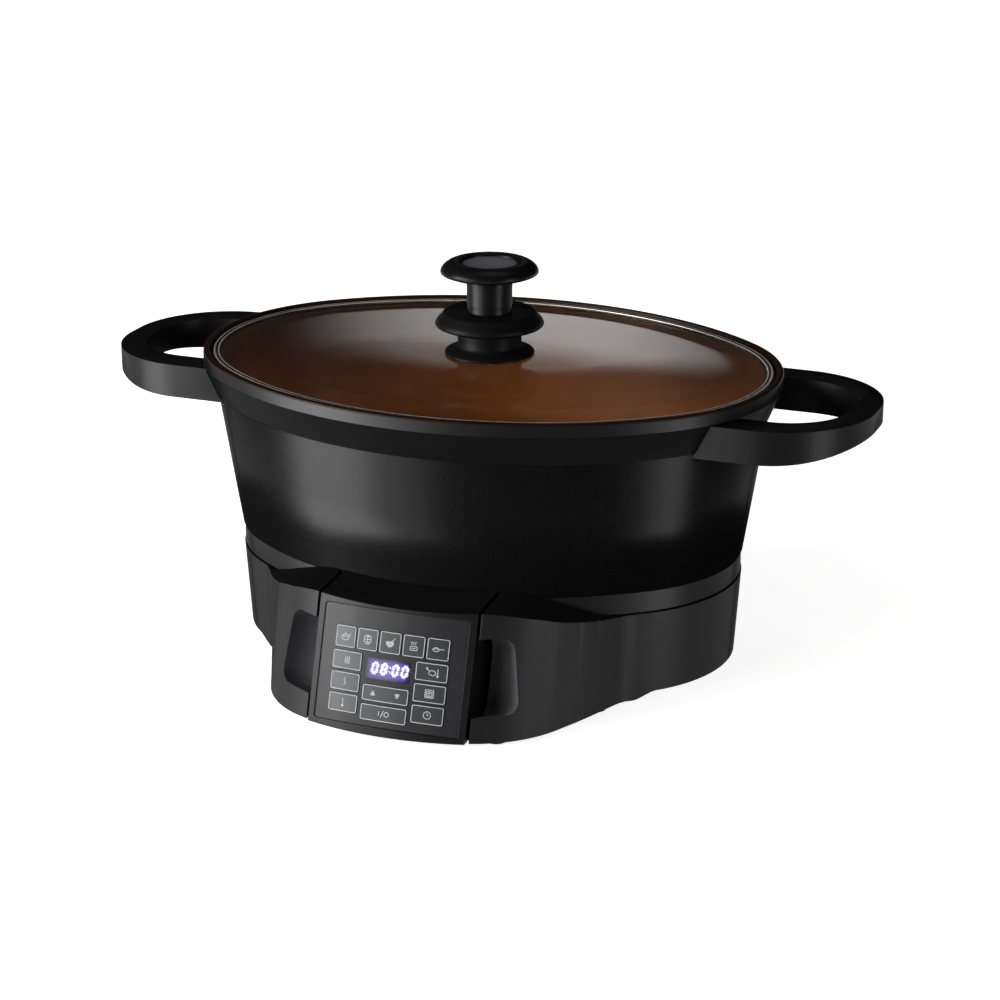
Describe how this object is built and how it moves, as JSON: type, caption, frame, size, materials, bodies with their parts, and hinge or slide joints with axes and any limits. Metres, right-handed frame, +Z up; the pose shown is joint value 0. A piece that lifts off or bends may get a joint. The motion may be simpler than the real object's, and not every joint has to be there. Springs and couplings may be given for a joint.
{
  "type": "countertop multicooker",
  "caption": "Oval cast cooking pot with a lift-off glass lid and two loop handles, on a low heating base with a plug-in control unit and keypad.",
  "frame": {"origin": "on the table under the middle of the whole cooker, handles and panel included", "axes": "+X along the two handles to the right as seen from the panel, +Y to the back, the panel faces -Y, +Z up"},
  "size_m": [0.48, 0.3074, 0.2413],
  "materials": {
    "clear_glass": "polished",
    "bright_steel": "satin",
    "knob_plastic": "satin",
    "grey_silicone": "matte",
    "coated_casting": "satin",
    "handle_plastic": "satin",
    "base_plastic": "fine grain",
    "black_rubber": "matte",
    "plate_aluminium": "machined",
    "element_steel": "oxidised",
    "white_ceramic": "matte",
    "fuse_shell": "gloss",
    "board_green": "solder mask",
    "relay_blue": "gloss",
    "capacitor_sleeve": "gloss",
    "terminal_white": "matte",
    "socket_plastic": "matte",
    "contact_brass": "polished",
    "panel_gloss": "gloss",
    "display_lens": "gloss",
    "display_body": "matte",
    "key_gloss": "gloss"
  },
  "bodies": {
    "base": {"base_shell": "base_plastic", "bottom_cover": "base_plastic", "rubber_feet": "black_rubber", "cover_screws": "bright_steel", "heat_pan": "bright_steel", "hot_plate": "plate_aluminium", "heating_element": "element_steel", "ceramic_spacers": "white_ceramic", "plate_screws": "bright_steel", "sensor_guide": "bright_steel", "sensor_spring": "bright_steel", "thermal_fuse": "fuse_shell", "fuse_clip": "bright_steel", "power_board": "board_green", "relay": "relay_blue", "capacitor": "capacitor_sleeve", "terminal_block": "terminal_white", "cord_gland": "base_plastic", "unit_socket": "socket_plastic"},
    "sensor": {"sensor_cup": "plate_aluminium"},
    "pot": {"pot_shell": "coated_casting", "handle_left": "handle_plastic", "handle_right": "handle_plastic", "handle_screws": "bright_steel"},
    "lid": {"lid_glass": "clear_glass", "lid_rim": "bright_steel", "knob_foot": "knob_plastic", "knob_collar": "knob_plastic", "knob_neck": "knob_plastic", "knob_grip": "knob_plastic", "knob_cap": "knob_plastic", "knob_screw": "bright_steel", "knob_washer": "grey_silicone"},
    "control_unit": {"unit_housing": "base_plastic", "unit_fascia": "base_plastic", "overlay_panel": "panel_gloss", "display_window": "display_lens", "display_block": "display_body", "control_board": "board_green", "keypad_mat": "grey_silicone", "unit_screws": "bright_steel", "unit_plug": "socket_plastic", "plug_blades": "contact_brass"},
    "key_top_1": {"key_top_1": "key_gloss"},
    "key_top_2": {"key_top_2": "key_gloss"},
    "key_top_3": {"key_top_3": "key_gloss"},
    "key_top_4": {"key_top_4": "key_gloss"},
    "key_top_5": {"key_top_5": "key_gloss"},
    "key_left_1": {"key_left_1": "key_gloss"},
    "key_left_2": {"key_left_2": "key_gloss"},
    "key_left_3": {"key_left_3": "key_gloss"},
    "key_right_1": {"key_right_1": "key_gloss"},
    "key_right_2": {"key_right_2": "key_gloss"},
    "key_right_3": {"key_right_3": "key_gloss"},
    "key_up_down": {"key_up_down": "key_gloss"},
    "key_power": {"key_power": "key_gloss"}
  },
  "joints": [
    {"name": "pot_lift", "type": "slide", "parent": "base", "child": "pot", "axis": [0, 0, 1], "range_m": [0, 0.15]},
    {"name": "lid_lift", "type": "slide", "parent": "pot", "child": "lid", "axis": [0, 0, 1], "range_m": [0, 0.12]},
    {"name": "unit_pull", "type": "slide", "parent": "base", "child": "control_unit", "axis": [0, -1, 0], "range_m": [0, 0.07]},
    {"name": "sensor_press", "type": "slide", "parent": "base", "child": "sensor", "axis": [0, 0, -1], "range_m": [0, 0.003], "stiffness_N_per_m": 300, "deforming": ["sensor_spring"]},
    {"name": "key_top_1_press", "type": "slide", "parent": "control_unit", "child": "key_top_1", "axis": [0, 0.9532, -0.3024], "range_m": [0, 0.0006], "stiffness_N_per_m": 250},
    {"name": "key_top_2_press", "type": "slide", "parent": "control_unit", "child": "key_top_2", "axis": [0, 0.9532, -0.3024], "range_m": [0, 0.0006], "stiffness_N_per_m": 250},
    {"name": "key_top_3_press", "type": "slide", "parent": "control_unit", "child": "key_top_3", "axis": [0, 0.9532, -0.3024], "range_m": [0, 0.0006], "stiffness_N_per_m": 250},
    {"name": "key_top_4_press", "type": "slide", "parent": "control_unit", "child": "key_top_4", "axis": [0, 0.9532, -0.3024], "range_m": [0, 0.0006], "stiffness_N_per_m": 250},
    {"name": "key_top_5_press", "type": "slide", "parent": "control_unit", "child": "key_top_5", "axis": [0, 0.9532, -0.3024], "range_m": [0, 0.0006], "stiffness_N_per_m": 250},
    {"name": "key_left_1_press", "type": "slide", "parent": "control_unit", "child": "key_left_1", "axis": [0, 0.9532, -0.3024], "range_m": [0, 0.0006], "stiffness_N_per_m": 250},
    {"name": "key_left_2_press", "type": "slide", "parent": "control_unit", "child": "key_left_2", "axis": [0, 0.9532, -0.3024], "range_m": [0, 0.0006], "stiffness_N_per_m": 250},
    {"name": "key_left_3_press", "type": "slide", "parent": "control_unit", "child": "key_left_3", "axis": [0, 0.9532, -0.3024], "range_m": [0, 0.0006], "stiffness_N_per_m": 250},
    {"name": "key_right_1_press", "type": "slide", "parent": "control_unit", "child": "key_right_1", "axis": [0, 0.9532, -0.3024], "range_m": [0, 0.0006], "stiffness_N_per_m": 250},
    {"name": "key_right_2_press", "type": "slide", "parent": "control_unit", "child": "key_right_2", "axis": [0, 0.9532, -0.3024], "range_m": [0, 0.0006], "stiffness_N_per_m": 250},
    {"name": "key_right_3_press", "type": "slide", "parent": "control_unit", "child": "key_right_3", "axis": [0, 0.9532, -0.3024], "range_m": [0, 0.0006], "stiffness_N_per_m": 250},
    {"name": "key_up_down_rock", "type": "hinge", "parent": "control_unit", "child": "key_up_down", "pos_m": [0, -0.14311, 0.02481], "axis": [0, 0.3024, 0.9532], "range_deg": [-1.2, 1.2], "stiffness_Nm_per_rad": 0.03},
    {"name": "key_power_press", "type": "slide", "parent": "control_unit", "child": "key_power", "axis": [0, 0.9532, -0.3024], "range_m": [0, 0.0006], "stiffness_N_per_m": 250}
  ]
}
